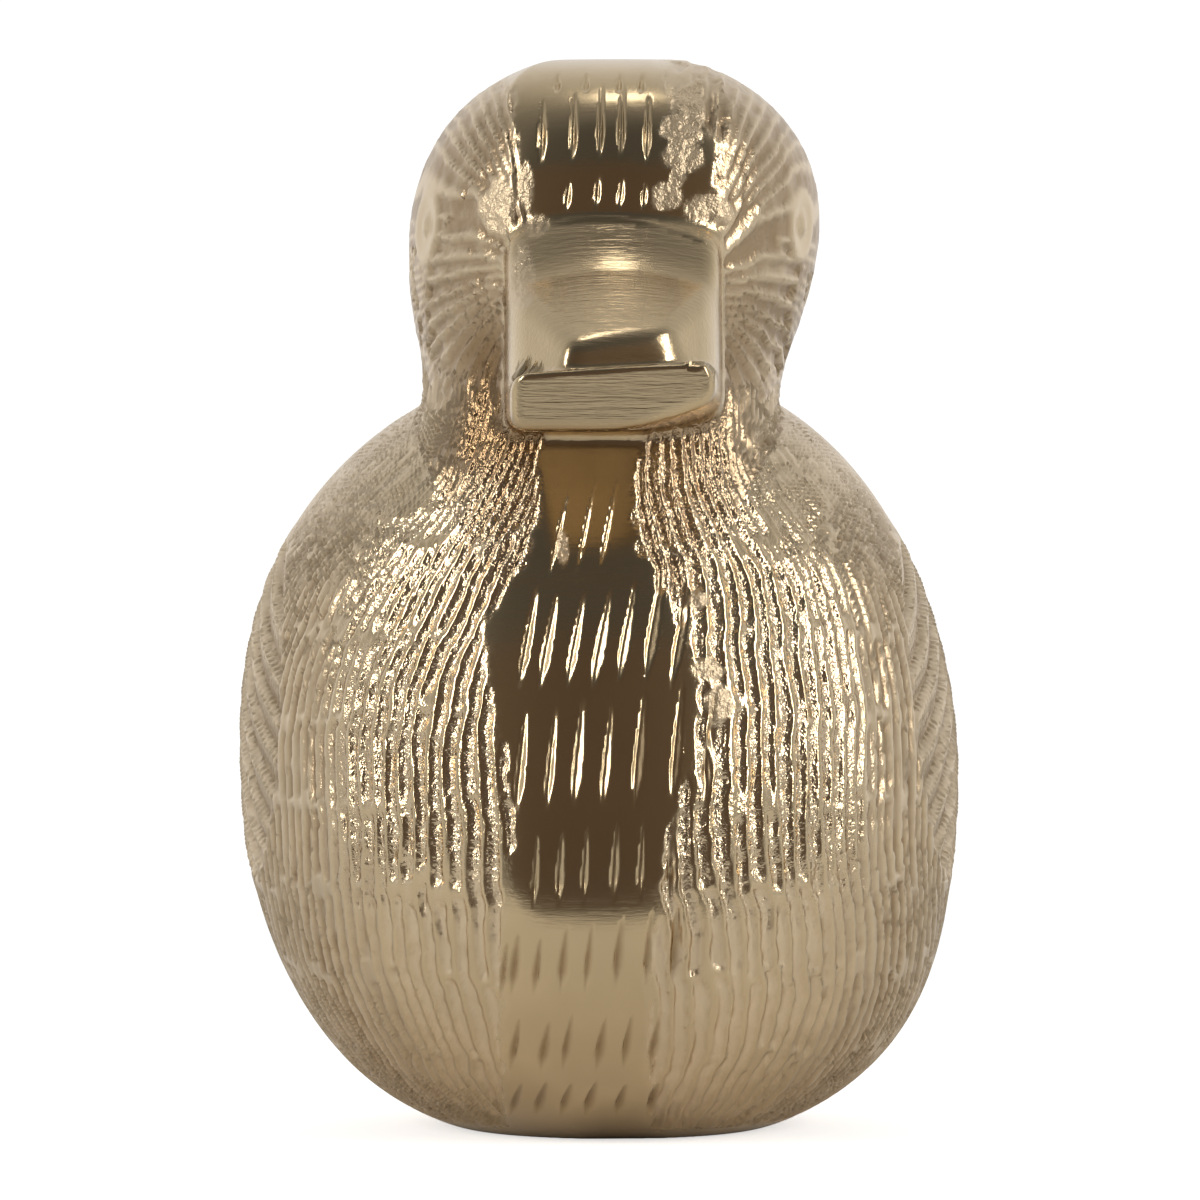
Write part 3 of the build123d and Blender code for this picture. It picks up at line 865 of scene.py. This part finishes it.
def tarnish_and_shade_share(here):
    """Where the brass is darkened: tarnish in the valleys, feathers and low cuts, and painted shade beside
    the throat and along the bill's lowest edge.
    """
    # Painted shade in the recess beside the throat, under the bill.
    throat = smoothstep(46, 53, here.z) * smoothstep(67, 59, here.z) * smoothstep(1.2, 0.7, here.angle)
    throat = throat * here.on_head * (1 - here.on_bill) * (1 - 0.7 * here.grind)
    in_valley = here.valley * mix(0.8 * (1 - here.breast) * (1 - 0.8 * here.level), 0.7, here.on_head)
    brown = np.maximum(in_valley, 0.9 * here.cut * smoothstep(20, 15, here.z))
    brown = brown * (1 - 0.7 * smoothstep(77, 81, here.z)) * (1 - 0.6 * smoothstep(-5, 15, here.y))
    brown = np.maximum(brown, 0.45 * here.on_wing * smoothstep(-0.2, -0.55, here.wing - WING_RELIEF))
    brown = np.maximum(throat * np.where(here.turned < 0, 1.0, 0.7), brown)
    # Painted shade along the lowest edge of the bill.
    return np.maximum(brown, 0.5 * here.on_bill * smoothstep(54.5, 53, here.z))


def matte_share(here):
    """Where the skin scatters the light: the flanks, head, belly and back, rough places, cuts and crown."""
    head_and_belly = np.maximum(0.7 * smoothstep(52, 60, here.z) * here.on_head, smoothstep(24, 14, here.z))
    matte = mix(np.maximum(smoothstep(0.65, 0.95, here.angle), head_and_belly), 1.0, here.rough)
    matte = np.maximum(matte, smoothstep(0.4, 0.7, here.up)) * (1 - here.grind)
    matte = np.maximum(matte, 0.8 * smoothstep(0, 0.2, here.cut))
    return np.maximum(matte, 0.8 * smoothstep(72, 82, here.z) * here.grind)


def skin_relief(points, normals, sizes):
    """Height of the skin over the smooth form, where the form's normals stay, and each finish's share, the
    painted shade among them.
    """
    here = survey(points, normals, sizes)
    matte = matte_share(here)
    rubbed = np.maximum(here.grind, 0.1 + 0.7 * here.breast * (1 - here.on_head))
    buffed = rubbed * (1 - smoothstep(0.05, 0.4, here.valley)) * (1 - here.rough)
    shallow = mix(0.85, 1.0, np.maximum(smoothstep(0.98, 0.7, here.angle), here.on_head))
    shallow = shallow * (1 - 0.5 * here.level)
    shallow = np.where(here.far_fan, 0.75 * smoothstep(1.45, 0.8, here.angle), shallow)
    height = here.wing + here.eye - sizes.groove_depth / MM * here.valley * shallow
    height += -sizes.cut_depth / MM * here.cut + BURR_RISE * here.burr * (1 - here.on_bill)
    height += ROOT_ARC_BURR * here.arc
    lumps = 0.6 * noise(points, 0.8, 51) + 0.4 * noise(points, 0.4, 52)
    grainy = (0.3 + 0.7 * here.valley + 0.8 * here.rough) * (1 - 0.6 * here.on_eye)
    grainy = grainy * mix(1 - 0.9 * matte, 0.8, here.on_head)
    height += LUMP_RISE * lumps * (1 - buffed) * grainy + LUMP_RISE * lumps * here.rough
    even = here.grind * smoothstep(0.06, 0, here.cut + here.burr + here.arc) * (1 - here.rough)
    finishes = {
        "polish": np.maximum(buffed, here.cut),
        "filed": here.on_bill * (1 - here.rough),
        # Tarnish in the hollows, and painted shade beside the throat and under the bill.
        "tarnish": tarnish_and_shade_share(here),
        "matte": matte,
        "grains": here.rough,
    }
    return height, even, finishes


# The skin as a mesh


def only(*objects):
    """Selects these objects and nothing else, and makes the first one active."""
    bpy.ops.object.select_all(action="DESELECT")
    for obj in objects:
        obj.select_set(True)
    bpy.context.view_layer.objects.active = objects[0]


@contextmanager
def edit_mode():
    """Edit mode for the active object, and object mode again afterwards."""
    bpy.ops.object.mode_set(mode="EDIT")
    yield
    bpy.ops.object.mode_set(mode="OBJECT")


def read_vectors(items, name):
    """One vector of each item of a mesh, such as the place of a vertex or the middle of a face."""
    flat = np.empty(len(items) * 3)
    items.foreach_get(name, flat)
    return flat.reshape(-1, 3)


def read_points(mesh):
    """The places of a mesh's vertices."""
    return read_vectors(mesh.vertices, "co")


def write_points(mesh, points):
    """Moves a mesh's vertices."""
    mesh.vertices.foreach_set("co", points.ravel())
    mesh.update()


def remesh(obj, step):
    """Draws an object's surface anew in squares of one size."""
    only(obj)
    modifier = obj.modifiers.new("Remesh", "REMESH")
    modifier.mode = "VOXEL"
    modifier.voxel_size = step
    bpy.ops.object.modifier_apply(modifier=modifier.name)


def near_vent(points):
    """Which points belong to the vent hole in the foot."""
    return (np.hypot(points[:, 0], points[:, 1] - VENT_Y) < VENT_RADIUS + 0.5) & (points[:, 2] < WALL + 1)


def select_points(mesh, chosen):
    """Selects the vertices of a mesh that are chosen, with the edges and faces between them."""
    mesh.vertices.foreach_set("select", chosen)
    edges = np.empty(len(mesh.edges) * 2, np.int32)
    mesh.edges.foreach_get("vertices", edges)
    mesh.edges.foreach_set("select", chosen[edges.reshape(-1, 2)].all(1))
    mesh.polygons.foreach_set("select", np.zeros(len(mesh.polygons), bool))
    mesh.update()


def whole_shell():
    """One closed skin of the duck, without the hollow inside, from copies of the three pieces."""
    only(*frame["nodes"].values())
    bpy.ops.object.duplicate()
    copies = list(bpy.context.selected_objects)
    only(*copies)
    bpy.ops.object.join()
    shell = bpy.context.view_layer.objects.active
    shell.parent = None
    shell.name = "duck_skin"
    for key in list(shell.keys()):
        del shell[key]
    write_points(shell.data, read_points(shell.data) / MM)
    with edit_mode():
        bpy.ops.mesh.select_all(action="SELECT")
        bpy.ops.mesh.remove_doubles(threshold=0.001)
    remesh(shell, FIRST_STEP)
    points = read_points(shell.data)
    hollow = form_gaps(points, False)[0] < -HOLLOW_DEPTH
    vent = near_vent(points)
    select_points(shell.data, np.where(vent, points[:, 2] > WALL - 0.6, hollow))
    with edit_mode():
        bpy.ops.mesh.select_mode(type="VERT")
        bpy.ops.mesh.delete(type="VERT")
    heights = read_points(shell.data)[:, 2]
    select_points(shell.data, heights == heights.max())
    with edit_mode():
        bpy.ops.mesh.select_linked()
        bpy.ops.mesh.select_all(action="INVERT")
        bpy.ops.mesh.delete(type="VERT")
        bpy.ops.mesh.select_all(action="SELECT")
        bpy.ops.mesh.fill_holes(sides=0)
        bpy.ops.mesh.normals_make_consistent(inside=False)
    return shell


def squeeze_rear(y):
    """How much the skin is squeezed at each place along the duck: not in front, and most behind."""
    return mix(1.0, REAR_SQUEEZE, smoothstep(*REAR_SQUEEZE_PLACES, y))


def fine_skin():
    """The whole skin drawn finely across the front and more coarsely behind, on the smooth form."""
    shell = whole_shell()
    squeeze = np.array(SKIN_SQUEEZE)
    points = read_points(shell.data)
    shrink = squeeze_rear(points[:, 1])
    points = points * squeeze
    points[:, 0] *= shrink
    points[:, 2] *= shrink
    write_points(shell.data, points)
    remesh(shell, SKIN_STEP)
    points = read_points(shell.data) / squeeze
    shrink = squeeze_rear(points[:, 1])
    points[:, 0] /= shrink
    points[:, 2] /= shrink
    return shell, points


def set_attribute(mesh, name, values):
    """Stores one number for each vertex of a mesh."""
    attribute = mesh.attributes.new(name, "FLOAT", "POINT")
    attribute.data.foreach_set("value", values.astype(np.float32))


def part_off(skin, name, side):
    """Parts the faces beyond the seam from the skin, on the side of +X or -X, as a piece of its own."""
    across = read_vectors(skin.data.polygons, "center")[:, 0]
    skin.data.polygons.foreach_set("select", side * across > SEAM_HALF * MM)
    only(skin)
    with edit_mode():
        bpy.ops.mesh.select_mode(type="FACE")
        bpy.ops.mesh.separate(type="SELECTED")
    piece = next(obj for obj in bpy.context.selected_objects if obj is not skin)
    piece.name = name
    piece.data.name = name
    return piece


class BRASSDUCK_OT_skin(bpy.types.Operator):
    """Draws the whole skin with its feather grooves, eyes, wings, bill and chisel cuts"""

    bl_idname = "brassduck.skin"
    bl_label = "Draw the skin"

    def execute(self, context):
        skin, points = fine_skin()
        vent = near_vent(points)
        smooth, normals = on_form(points)
        height, even, finishes = skin_relief(smooth, normals, context.scene.duck_sizes)
        placed = smooth + normals * height[:, None]
        placed[vent] = points[vent]
        placed[:, 2] = np.maximum(placed[:, 2], 0)
        write_points(skin.data, placed * MM)
        only(skin)
        bpy.ops.object.shade_smooth()
        for name, share in finishes.items():
            set_attribute(skin.data, name, np.where(vent, VENT_FINISH[name], share))
        drawn = read_vectors(skin.data.vertex_normals, "vector")
        shown = mix(drawn, normals, np.where(vent, 0, even)[:, None])
        stored = skin.data.attributes.new("whole_normal", "FLOAT_VECTOR", "POINT")
        stored.data.foreach_set("vector", shown.astype(np.float32).ravel())
        return {"FINISHED"}


class BRASSDUCK_OT_pieces(bpy.types.Operator):
    """Parts the skin into the two half castings and the braze between them"""

    bl_idname = "brassduck.pieces"
    bl_label = "Part the skin"

    def execute(self, context):
        skin = bpy.data.objects["duck_skin"]
        left = part_off(skin, "left_half", 1)
        right = part_off(skin, "right_half", -1)
        skin.name = "seam"
        colours = context.scene.duck_colours
        castings = brass_material(
            "Cast brass, ground along the seam", colours.cast, colours.ground, colours.tarnish)
        braze = brass_material("Polished brass braze", colours.cast, colours.braze, colours.tarnish)
        for piece, node, material, slot in (
                (left, "left_half_casting", castings, "cast_brass"),
                (right, "right_half_casting", castings, "cast_brass"),
                (skin, "seam_braze", braze, "polished_brass")):
            mesh = piece.data
            kept = mesh.attributes["whole_normal"]
            mesh.normals_split_custom_set_from_vertices(read_vectors(kept.data, "vector"))
            mesh.attributes.remove(mesh.attributes["whole_normal"])
            mesh.materials.clear()
            mesh.materials.append(material)
            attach(piece, "root")
            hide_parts(node)
        return {"FINISHED"}


# Materials


def linear(hex_colour):
    """A linear colour with full alpha from an sRGB hex value."""
    values = [int(hex_colour[i:i + 2], 16) / 255 for i in (1, 3, 5)]
    return [v / 12.92 if v <= 0.04045 else ((v + 0.055) / 1.055) ** 2.4 for v in values] + [1.0]


def add(tree, kind, settings, inputs):
    """Adds a node to a tree; an input is a value, or a node and the name of its output."""
    node = tree.nodes.new("ShaderNode" + kind)
    for name, value in settings.items():
        setattr(node, name, value)
    for name, value in inputs.items():
        if isinstance(value, tuple) and isinstance(value[0], bpy.types.Node):
            tree.links.new(value[0].outputs[value[1]], node.inputs[name])
        else:
            node.inputs[name].default_value = value
    return node


def brass_material(name, cast, ground, tarnish):
    """Brass poured in sand, then ground, filed and polished where the "polish" attribute says.

    The cast skin scatters the light from sandy grains; the ground metal shows soft mirror
    images drawn out by the file, and the bill keeps its coarser file lines.
    """
    material = bpy.data.materials.new(name)
    material.use_nodes = True
    tree = material.node_tree
    shader = tree.nodes["Principled BSDF"]
    shader.inputs["Metallic"].default_value = 1.0
    place = add(tree, "TexCoord", {}, {})
    polish, filed, tarnish_and_shade_attribute, matte, grains = (
        add(tree, "Attribute", {"attribute_name": share}, {})
        for share in ("polish", "filed", "tarnish", "matte", "grains"))

    tone = add(tree, "TexNoise", {}, {
        "Vector": (place, "Object"), "Scale": 1 / (TONE_PATCH * MM), "Detail": 3.0})
    colour = add(tree, "Mix", {"data_type": "RGBA"}, {
        0: (polish, "Fac"), 6: linear(cast), 7: linear(ground)})
    # The tarnish-and-shade attribute browns the colour: tarnish in the hollows, and painted shade beside the
    # throat and under the bill.
    brown = add(tree, "Mix", {"data_type": "RGBA"}, {
        0: (tarnish_and_shade_attribute, "Fac"), 6: (colour, 2), 7: linear(tarnish)})
    shade = add(tree, "MapRange", {}, {
        "Value": (tone, "Fac"), "To Min": TONE_RANGE[0], "To Max": TONE_RANGE[1]})
    toned = add(tree, "VectorMath", {"operation": "SCALE"}, {0: (brown, 2), "Scale": (shade, "Result")})
    tree.links.new(toned.outputs["Vector"], shader.inputs["Base Color"])

    gloss = add(tree, "MapRange", {}, {
        "Value": (polish, "Fac"), "To Min": CAST_ROUGHNESS, "To Max": GROUND_ROUGHNESS})
    roughness = (gloss, "Result")
    for share, rougher in ((filed, FILED_ROUGHER), (matte, MATTE_ROUGHER), (grains, GRAINS_ROUGHER)):
        added = add(tree, "Math", {"operation": "MULTIPLY_ADD"}, {
            0: (share, "Fac"), 1: rougher, 2: roughness})
        roughness = (added, "Value")
    tree.links.new(added.outputs["Value"], shader.inputs["Roughness"])

    coarse = add(tree, "Math", {"operation": "MULTIPLY_ADD"}, {
        0: (matte, "Fac"), 1: MATTE_SMOOTHER, 2: 1.0})
    unpolished = add(tree, "Math", {"operation": "SUBTRACT"}, {0: (coarse, "Value"), 1: (polish, "Fac")})
    sandy = add(tree, "Math", {"operation": "MAXIMUM"}, {0: (unpolished, "Value"), 1: (grains, "Fac")})
    sand = add(tree, "TexNoise", {}, {
        "Vector": (place, "Object"), "Scale": 1 / bpy.context.scene.duck_sizes.grain,
        "Detail": 2.0, "Roughness": 0.6})
    sand_bump = add(tree, "Bump", {}, {
        "Strength": (sandy, "Value"), "Distance": SAND_BUMP * MM, "Height": (sand, "Fac")})
    drawn = add(tree, "Mapping", {}, {"Vector": (place, "Object"), "Scale": (FILE_LINE_STRETCH, 1.0, 1.0)})
    lines = add(tree, "TexNoise", {}, {
        "Vector": (drawn, "Vector"), "Scale": 1 / (FILE_LINE * MM), "Detail": 3.0, "Roughness": 0.65})
    line_strength = add(tree, "MapRange", {}, {
        "Value": (filed, "Fac"), "To Min": FILE_LINE_STRENGTH[0], "To Max": FILE_LINE_STRENGTH[1]})
    line_bump = add(tree, "Bump", {}, {
        "Strength": (line_strength, "Result"), "Distance": FILE_BUMP * MM, "Height": (lines, "Fac"),
        "Normal": (sand_bump, "Normal")})
    tree.links.new(line_bump.outputs["Normal"], shader.inputs["Normal"])
    return material


# Stage


def plane(name, size, place, turn, colour, camera_white):
    """A flat sheet of the stage, with its place in its mesh."""
    bpy.ops.object.select_all(action="DESELECT")
    bpy.ops.mesh.primitive_plane_add(size=1, location=[v * MM for v in place], rotation=turn)
    sheet = bpy.context.active_object
    sheet.name = name
    sheet.scale = (size[0] * MM, size[1] * MM, 1)
    bpy.ops.object.transform_apply(location=True, rotation=True, scale=True)
    material = bpy.data.materials.new(name + " paper")
    material.use_nodes = True
    tree = material.node_tree
    shader = tree.nodes["Principled BSDF"]
    shader.inputs["Base Color"].default_value = linear(colour)
    shader.inputs["Roughness"].default_value = 0.9
    if camera_white:
        rays = add(tree, "LightPath", {}, {})
        glow = add(tree, "Math", {"operation": "MULTIPLY"}, {
            0: (rays, "Is Camera Ray"), 1: camera_white})
        shader.inputs["Emission Color"].default_value = (1, 1, 1, 1)
        tree.links.new(glow.outputs["Value"], shader.inputs["Emission Strength"])
    sheet.data.materials.append(material)
    return sheet


def softbox(name, place, size, power):
    """A soft rectangular lamp that points at the duck."""
    bpy.ops.object.light_add(type="AREA", location=[v * MM for v in place])
    lamp = bpy.context.active_object
    lamp.name = name
    lamp.data.shape = "RECTANGLE"
    lamp.data.size = size[0] * MM
    lamp.data.size_y = size[1] * MM
    lamp.data.energy = power
    aim = Vector((0, 0, LAMP_AIM * MM)) - lamp.location
    lamp.rotation_euler = aim.to_track_quat("-Z", "Y").to_euler()


def white_surround(colour):
    """A world that is white to the camera, and that the brass mirrors, bright behind and dark in front."""
    world = bpy.data.worlds.new("White surround")
    world.use_nodes = True
    tree = world.node_tree
    rays = add(tree, "LightPath", {}, {})
    place = add(tree, "TexCoord", {}, {})
    away = add(tree, "VectorMath", {"operation": "DOT_PRODUCT"}, {0: (place, "Generated"), 1: SKY_WAY})
    sky = add(tree, "MapRange", {}, {
        "Value": (away, "Value"), "From Min": SKY_RANGE[0], "From Max": SKY_RANGE[1],
        "To Min": SKY_LIGHT[0], "To Max": SKY_LIGHT[1]})
    axes = add(tree, "SeparateXYZ", {}, {"Vector": (place, "Generated")})
    below = add(tree, "MapRange", {}, {
        "Value": (axes, "Z"), "From Min": BELOW_RANGE[0], "From Max": BELOW_RANGE[1],
        "To Max": BELOW_LIGHT})
    around = add(tree, "Math", {"operation": "MAXIMUM"}, {0: (sky, "Result"), 1: (below, "Result")})
    level = add(tree, "Math", {"operation": "MAXIMUM"}, {0: (rays, "Is Camera Ray"), 1: (around, "Value")})
    tint = add(tree, "Mix", {"data_type": "RGBA"}, {
        0: (rays, "Is Camera Ray"), 6: linear(colour), 7: (1, 1, 1, 1)})
    surround = tree.nodes["Background"]
    tree.links.new(tint.outputs[2], surround.inputs["Color"])
    tree.links.new(level.outputs["Value"], surround.inputs["Strength"])
    return world


def front_camera():
    """The camera of the photograph, level with the breast and tipped up a little."""
    bpy.ops.object.camera_add(location=(0, -VIEW_DISTANCE * MM, VIEW_HEIGHT * MM))
    camera = bpy.context.active_object
    camera.rotation_euler = (pi / 2 + atan2(VIEW_AIM - VIEW_HEIGHT, VIEW_DISTANCE), 0, 0)
    camera.data.sensor_width = SENSOR
    camera.data.lens = SENSOR * VIEW_DISTANCE / VIEW_SPAN
    camera.data.clip_start = 0.01
    return camera


class BRASSDUCK_OT_stage(bpy.types.Operator):
    """Sets the floor, the lamps, the white surround and the camera"""

    bl_idname = "brassduck.stage"
    bl_label = "Set the stage"

    def execute(self, context):
        scene = context.scene
        colours = scene.duck_colours
        plane("floor", FLOOR_SIZE, FLOOR_PLACE, (0, 0, 0), colours.floor, FLOOR_GLOW)
        card = plane("dark_card", CARD_SIZE, CARD_PLACE, (radians(90), 0, 0), colours.dark, 0)
        card.visible_camera = False
        out, along, up = SIDE_LAMP_PLACE
        for name, side in (("left_softbox", -out), ("right_softbox", out)):
            softbox(name, (side, along, up), SIDE_LAMP_SIZE, SIDE_LAMP_POWER)
        softbox("top_softbox", TOP_LAMP_PLACE, TOP_LAMP_SIZE, TOP_LAMP_POWER)
        scene.world = white_surround(colours.sky)
        scene.camera = front_camera()
        scene.view_settings.view_transform = "Standard"
        return {"FINISHED"}


class BRASSDUCK_PT_panel(bpy.types.Panel):
    """Lists the steps, sizes and colours of the duck"""

    bl_idname = "BRASSDUCK_PT_panel"
    bl_label = "Brass duck"
    bl_space_type = "VIEW_3D"
    bl_region_type = "UI"
    bl_category = "Duck"

    def draw(self, context):
        for step in STEPS:
            self.layout.operator(step.bl_idname)
        for group in (context.scene.duck_sizes, context.scene.duck_colours):
            for name in group.__annotations__:
                self.layout.prop(group, name)


STEPS = (BRASSDUCK_OT_skin, BRASSDUCK_OT_pieces, BRASSDUCK_OT_stage)
CLASSES = (DuckSizes, DuckColours, *STEPS, BRASSDUCK_PT_panel)


def register():
    """Adds the classes and the two groups of settings."""
    for one in CLASSES:
        bpy.utils.register_class(one)
    bpy.types.Scene.duck_sizes = bpy.props.PointerProperty(type=DuckSizes)
    bpy.types.Scene.duck_colours = bpy.props.PointerProperty(type=DuckColours)


def unregister():
    """Takes the classes and settings away again."""
    del bpy.types.Scene.duck_colours
    del bpy.types.Scene.duck_sizes
    for one in reversed(CLASSES):
        bpy.utils.unregister_class(one)


def main():
    """Builds the duck and its stage."""
    register()
    bpy.ops.brassduck.skin()
    bpy.ops.brassduck.pieces()
    bpy.ops.brassduck.stage()


if __name__ == "__main__":
    main()
